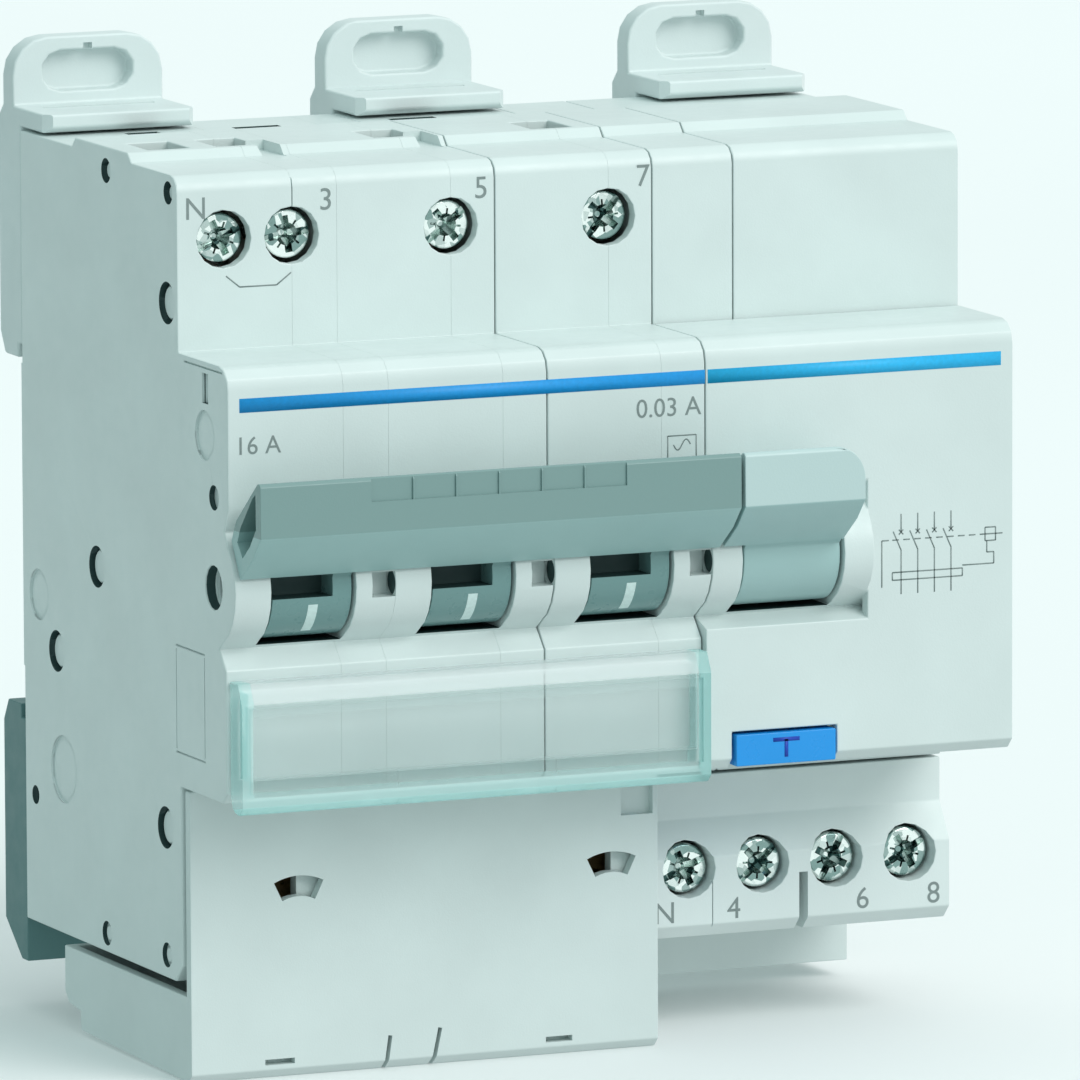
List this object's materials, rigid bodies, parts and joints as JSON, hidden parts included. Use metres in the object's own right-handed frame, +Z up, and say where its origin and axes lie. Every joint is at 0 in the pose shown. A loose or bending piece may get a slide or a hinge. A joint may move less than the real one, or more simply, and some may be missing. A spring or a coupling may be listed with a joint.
{
  "type": "residual current device",
  "caption": "Rail-mounted residual current breaker: breaker poles with a joined handle, a residual current block with its own toggle and test button, screw terminals and rail clips.",
  "frame": {"origin": "centre of the rail seat, on the flat back of the case midway between its sides and midway between the rail's edges", "axes": "+X to the right, -Y towards the person who works the handle, +Z up the panel"},
  "size_m": [0.088, 0.0718, 0.1033],
  "materials": {
    "white_case": "fine satin moulded",
    "terminal_block": "fine satin moulded",
    "lower_cover": "fine satin moulded",
    "clear_window": "clear moulded",
    "handle_grey": "satin moulded",
    "rcd_toggle_grey": "satin moulded",
    "button_blue": "satin moulded",
    "clip_light": "satin moulded",
    "clip_dark": "satin moulded",
    "screw_zinc": "zinc plated",
    "cage_zinc": "zinc plated",
    "steel": "drawn",
    "copper": "stamped",
    "bronze": "stamped",
    "transformer_core": "taped winding",
    "relay_case": "moulded",
    "circuit_board": "lacquered"
  },
  "bodies": {
    "housing": {"pole_1_case_left": "white_case", "pole_1_case_right": "white_case", "pole_2_case_left": "white_case", "pole_2_case_right": "white_case", "pole_3_case_left": "white_case", "pole_3_case_right": "white_case", "rcd_case_left": "white_case", "rcd_case_right": "white_case", "rcd_front_cover": "white_case", "rcd_terminal_block": "terminal_block", "lower_terminal_cover": "lower_cover", "toggle_axle": "steel", "rcd_toggle_axle": "steel", "magnetic_trip_1": "copper", "magnetic_trip_2": "copper", "magnetic_trip_3": "copper", "neutral_fixed_contact": "copper", "arc_chute_1": "steel", "arc_chute_2": "steel", "arc_chute_3": "steel", "bimetal_strip_1": "bronze", "bimetal_strip_2": "bronze", "bimetal_strip_3": "bronze", "current_transformer": "transformer_core", "trip_relay": "relay_case", "test_circuit_board": "circuit_board"},
    "breaker_handle": {"handle_bar": "handle_grey", "toggle_1": "handle_grey", "toggle_2": "handle_grey", "toggle_3": "handle_grey"},
    "rcd_toggle": {"rcd_toggle": "rcd_toggle_grey"},
    "label_window": {"label_window": "clear_window"},
    "test_button": {"test_button": "button_blue"},
    "test_blade": {"test_contact_blade": "bronze"},
    "moving_contact_n": {"moving_contact_n": "copper"},
    "moving_contact_1": {"moving_contact_1": "copper"},
    "moving_contact_2": {"moving_contact_2": "copper"},
    "moving_contact_3": {"moving_contact_3": "copper"},
    "upper_rail_clip_1": {"upper_rail_clip_1": "clip_light"},
    "lower_rail_clip_1": {"lower_rail_clip_1": "clip_dark"},
    "upper_rail_clip_2": {"upper_rail_clip_2": "clip_light"},
    "lower_rail_clip_2": {"lower_rail_clip_2": "clip_dark"},
    "upper_rail_clip_3": {"upper_rail_clip_3": "clip_light"},
    "lower_rail_clip_3": {"lower_rail_clip_3": "clip_dark"},
    "line_screw_n": {"line_screw_n": "screw_zinc"},
    "line_cage_n": {"line_cage_n": "cage_zinc"},
    "line_screw_1": {"line_screw_1": "screw_zinc"},
    "line_cage_1": {"line_cage_1": "cage_zinc"},
    "line_screw_2": {"line_screw_2": "screw_zinc"},
    "line_cage_2": {"line_cage_2": "cage_zinc"},
    "line_screw_3": {"line_screw_3": "screw_zinc"},
    "line_cage_3": {"line_cage_3": "cage_zinc"},
    "load_screw_n": {"load_screw_n": "screw_zinc"},
    "load_cage_n": {"load_cage_n": "cage_zinc"},
    "load_screw_1": {"load_screw_1": "screw_zinc"},
    "load_cage_1": {"load_cage_1": "cage_zinc"},
    "load_screw_2": {"load_screw_2": "screw_zinc"},
    "load_cage_2": {"load_cage_2": "cage_zinc"},
    "load_screw_3": {"load_screw_3": "screw_zinc"},
    "load_cage_3": {"load_cage_3": "cage_zinc"}
  },
  "joints": [
    {"name": "breaker_handle_turn", "type": "hinge", "parent": "housing", "child": "breaker_handle", "pos_m": [-0.044, -0.0533, -0.0005], "axis": [1, 0, 0], "range_deg": [0, 75]},
    {"name": "rcd_toggle_turn", "type": "hinge", "parent": "housing", "child": "rcd_toggle", "pos_m": [0.0128, -0.0533, -0.0005], "axis": [1, 0, 0], "range_deg": [0, 75]},
    {"name": "label_window_open", "type": "hinge", "parent": "housing", "child": "label_window", "pos_m": [-0.0437, -0.0585, -0.0215], "axis": [1, 0, 0], "range_deg": [0, 100]},
    {"name": "test_button_press", "type": "slide", "parent": "housing", "child": "test_button", "axis": [0, 1, 0], "range_m": [0, 0.0015], "stiffness_N_per_m": 600, "springref_m": -0.0005},
    {"name": "test_blade_flex", "type": "hinge", "parent": "housing", "child": "test_blade", "pos_m": [0.02595, -0.0471, -0.0198], "axis": [0, 0, 1], "range_deg": [-11, 0]},
    {"name": "contact_n_open", "type": "hinge", "parent": "housing", "child": "moving_contact_n", "pos_m": [-0.0388, -0.0362, 0.0165], "axis": [1, 0, 0], "range_deg": [-24, 0]},
    {"name": "contact_1_open", "type": "hinge", "parent": "housing", "child": "moving_contact_1", "pos_m": [-0.0313, -0.0362, 0.0165], "axis": [1, 0, 0], "range_deg": [-24, 0]},
    {"name": "contact_2_open", "type": "hinge", "parent": "housing", "child": "moving_contact_2", "pos_m": [-0.0136, -0.0362, 0.0165], "axis": [1, 0, 0], "range_deg": [-24, 0]},
    {"name": "contact_3_open", "type": "hinge", "parent": "housing", "child": "moving_contact_3", "pos_m": [0.0041, -0.0362, 0.0165], "axis": [1, 0, 0], "range_deg": [-24, 0]},
    {"name": "upper_clip_1_pull", "type": "slide", "parent": "housing", "child": "upper_rail_clip_1", "axis": [0, 0, 1], "range_m": [0, 0.004]},
    {"name": "lower_clip_1_lock", "type": "slide", "parent": "housing", "child": "lower_rail_clip_1", "axis": [0, 0, 1], "range_m": [0, 0.004]},
    {"name": "upper_clip_2_pull", "type": "slide", "parent": "housing", "child": "upper_rail_clip_2", "axis": [0, 0, 1], "range_m": [0, 0.004]},
    {"name": "lower_clip_2_lock", "type": "slide", "parent": "housing", "child": "lower_rail_clip_2", "axis": [0, 0, 1], "range_m": [0, 0.004]},
    {"name": "upper_clip_3_pull", "type": "slide", "parent": "housing", "child": "upper_rail_clip_3", "axis": [0, 0, 1], "range_m": [0, 0.004]},
    {"name": "lower_clip_3_lock", "type": "slide", "parent": "housing", "child": "lower_rail_clip_3", "axis": [0, 0, 1], "range_m": [0, 0.004]},
    {"name": "line_screw_n_turn", "type": "hinge", "parent": "housing", "child": "line_screw_n", "pos_m": [-0.0388, -0.0432, 0.0339], "axis": [0, 1, 0], "range_deg": [0, 2260]},
    {"name": "line_cage_n_lift", "type": "slide", "parent": "housing", "child": "line_cage_n", "axis": [0, -1, 0], "range_m": [0, 0.005]},
    {"name": "line_screw_1_turn", "type": "hinge", "parent": "housing", "child": "line_screw_1", "pos_m": [-0.0313, -0.0432, 0.0339], "axis": [0, 1, 0], "range_deg": [0, 2260]},
    {"name": "line_cage_1_lift", "type": "slide", "parent": "housing", "child": "line_cage_1", "axis": [0, -1, 0], "range_m": [0, 0.005]},
    {"name": "line_screw_2_turn", "type": "hinge", "parent": "housing", "child": "line_screw_2", "pos_m": [-0.0136, -0.0432, 0.0339], "axis": [0, 1, 0], "range_deg": [0, 2260]},
    {"name": "line_cage_2_lift", "type": "slide", "parent": "housing", "child": "line_cage_2", "axis": [0, -1, 0], "range_m": [0, 0.005]},
    {"name": "line_screw_3_turn", "type": "hinge", "parent": "housing", "child": "line_screw_3", "pos_m": [0.0041, -0.0432, 0.0339], "axis": [0, 1, 0], "range_deg": [0, 2260]},
    {"name": "line_cage_3_lift", "type": "slide", "parent": "housing", "child": "line_cage_3", "axis": [0, -1, 0], "range_m": [0, 0.005]},
    {"name": "load_screw_n_turn", "type": "hinge", "parent": "housing", "child": "load_screw_n", "pos_m": [0.014, -0.0411, -0.0356], "axis": [0, 1, 0], "range_deg": [0, 2260]},
    {"name": "load_cage_n_lift", "type": "slide", "parent": "housing", "child": "load_cage_n", "axis": [0, -1, 0], "range_m": [0, 0.005]},
    {"name": "load_screw_1_turn", "type": "hinge", "parent": "housing", "child": "load_screw_1", "pos_m": [0.02245, -0.0411, -0.0356], "axis": [0, 1, 0], "range_deg": [0, 2260]},
    {"name": "load_cage_1_lift", "type": "slide", "parent": "housing", "child": "load_cage_1", "axis": [0, -1, 0], "range_m": [0, 0.005]},
    {"name": "load_screw_2_turn", "type": "hinge", "parent": "housing", "child": "load_screw_2", "pos_m": [0.0309, -0.0411, -0.0356], "axis": [0, 1, 0], "range_deg": [0, 2260]},
    {"name": "load_cage_2_lift", "type": "slide", "parent": "housing", "child": "load_cage_2", "axis": [0, -1, 0], "range_m": [0, 0.005]},
    {"name": "load_screw_3_turn", "type": "hinge", "parent": "housing", "child": "load_screw_3", "pos_m": [0.03935, -0.0411, -0.0356], "axis": [0, 1, 0], "range_deg": [0, 2260]},
    {"name": "load_cage_3_lift", "type": "slide", "parent": "housing", "child": "load_cage_3", "axis": [0, -1, 0], "range_m": [0, 0.005]}
  ],
  "couplings": [
    {"joint": "test_blade_flex", "follows": "test_button_press", "rad_per_m": -125},
    {"joint": "contact_n_open", "follows": "breaker_handle_turn", "ratio": -0.3},
    {"joint": "contact_1_open", "follows": "breaker_handle_turn", "ratio": -0.3},
    {"joint": "contact_2_open", "follows": "breaker_handle_turn", "ratio": -0.3},
    {"joint": "contact_3_open", "follows": "breaker_handle_turn", "ratio": -0.3},
    {"joint": "line_screw_n_turn", "follows": "line_cage_n_lift", "rad_per_m": 7854},
    {"joint": "line_screw_1_turn", "follows": "line_cage_1_lift", "rad_per_m": 7854},
    {"joint": "line_screw_2_turn", "follows": "line_cage_2_lift", "rad_per_m": 7854},
    {"joint": "line_screw_3_turn", "follows": "line_cage_3_lift", "rad_per_m": 7854},
    {"joint": "load_screw_n_turn", "follows": "load_cage_n_lift", "rad_per_m": 7854},
    {"joint": "load_screw_1_turn", "follows": "load_cage_1_lift", "rad_per_m": 7854},
    {"joint": "load_screw_2_turn", "follows": "load_cage_2_lift", "rad_per_m": 7854},
    {"joint": "load_screw_3_turn", "follows": "load_cage_3_lift", "rad_per_m": 7854}
  ]
}
